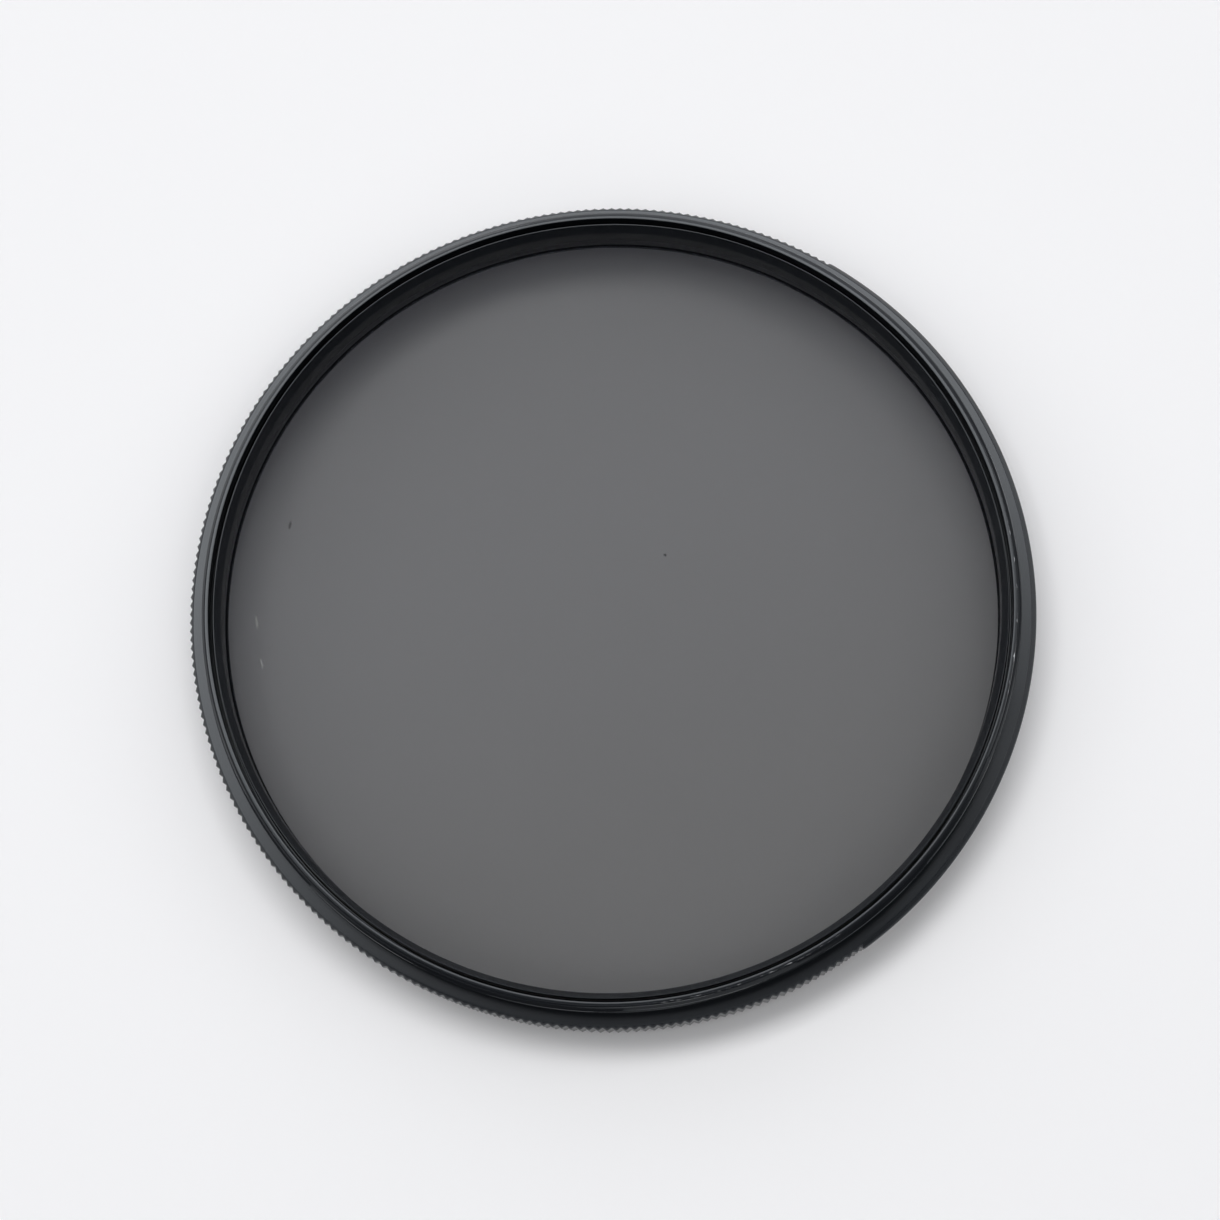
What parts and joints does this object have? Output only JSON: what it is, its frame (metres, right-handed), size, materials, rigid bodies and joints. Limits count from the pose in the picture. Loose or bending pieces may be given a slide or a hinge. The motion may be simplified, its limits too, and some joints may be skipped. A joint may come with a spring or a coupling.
{
  "type": "rotating polarising lens filter",
  "caption": "Screw-in polarising filter for a camera lens: a grey glass disc in a turning black ring, held by a threaded mount ring with a knurled rim.",
  "frame": {"origin": "On the optical axis, in the plane of the front rim that the filter lies on", "axes": "+Z along the optical axis towards the camera side, where the male thread is; +X through the middle of the plain arc of the rear rim"},
  "size_m": [0.0801, 0.08, 0.0081],
  "materials": {
    "black_anodised": "satin black anodised, turned",
    "spring_steel": "blackened spring wire",
    "coated_glass": "clear optical glass with an anti-reflection coating",
    "grey_film": "neutral grey polarising film",
    "clear_film": "clear retarder film"
  },
  "bodies": {
    "mount": {"rear_mount_ring": "black_anodised"},
    "turning_cell": {"front_ring": "black_anodised", "retaining_ring": "black_anodised", "snap_wire": "spring_steel", "front_glass": "coated_glass", "polarising_film": "grey_film", "quarter_wave_film": "clear_film", "rear_glass": "coated_glass"}
  },
  "joints": [
    {"name": "filter_turn", "type": "hinge", "parent": "mount", "child": "turning_cell", "pos_m": [0, 0, 0.0055], "axis": [0, 0, 1], "continuous": true}
  ]
}
